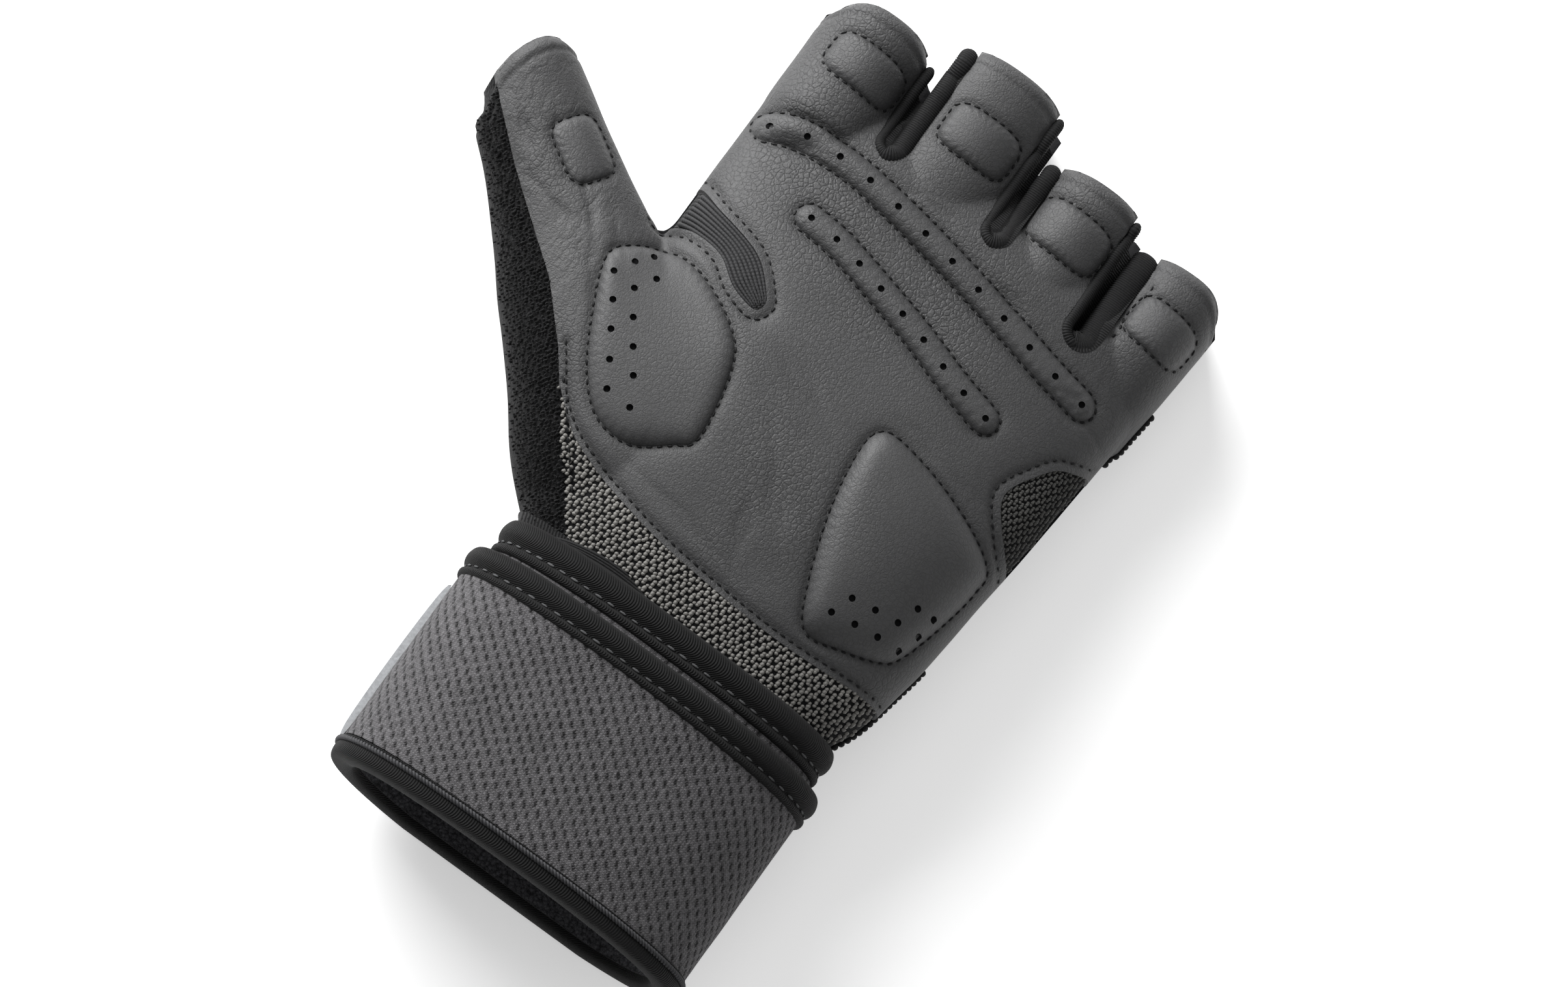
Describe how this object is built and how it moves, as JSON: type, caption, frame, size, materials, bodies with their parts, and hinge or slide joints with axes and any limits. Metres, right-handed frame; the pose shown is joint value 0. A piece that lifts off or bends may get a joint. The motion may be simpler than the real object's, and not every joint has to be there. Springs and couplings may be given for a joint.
{
  "type": "weightlifting glove",
  "caption": "Left-hand half-finger weightlifting glove: padded leather palm, perforated pads, ribbed gussets, terry thumb back and a wide wrap round the wrist, lying palm up.",
  "frame": {"origin": "centre of the glove's outline on the surface that it lies on", "axes": "+Y towards the fingertips, +X towards the little finger, +Z out of the palm"},
  "size_m": [0.1548, 0.2038, 0.0462],
  "materials": {
    "leather": "dark grey, fine pebble grain, satin",
    "pad_leather": "dark grey, smoother grain over padding, satin",
    "back_mesh": "black coarse mesh",
    "terry": "black looped terry, matt",
    "grey_mesh": "grey knotted mesh over black",
    "ribbed_elastic": "black ribbed elastic knit",
    "cuff_knit": "black ribbed knit",
    "wrap_knit": "heathered dark grey knit with small pits",
    "binding_tape": "near-black folded knit tape with grey stitches",
    "tab": "light grey hook-and-loop end"
  },
  "bodies": {
    "root": {"palm_leather": "leather", "back_mesh": "back_mesh", "thumb_terry": "terry", "wrist_mesh": "grey_mesh", "vent_mesh": "grey_mesh", "thumb_elastic": "ribbed_elastic", "gusset_index_middle": "ribbed_elastic", "gusset_middle_ring": "ribbed_elastic", "gusset_ring_little": "ribbed_elastic", "inner_cuff": "cuff_knit", "wrap_inner": "wrap_knit", "wrap_inner_binding": "binding_tape", "wrap_outer": "wrap_knit", "wrap_outer_binding": "binding_tape", "cuff_binding": "binding_tape", "closure_tab": "tab", "pad_index": "pad_leather", "pad_middle": "pad_leather", "pad_ring": "pad_leather", "pad_little": "pad_leather", "pad_thumb": "pad_leather", "pad_thenar": "pad_leather", "pad_hypothenar": "pad_leather", "pad_knuckle_upper": "pad_leather", "pad_knuckle_lower": "pad_leather"}
  },
  "joints": []
}
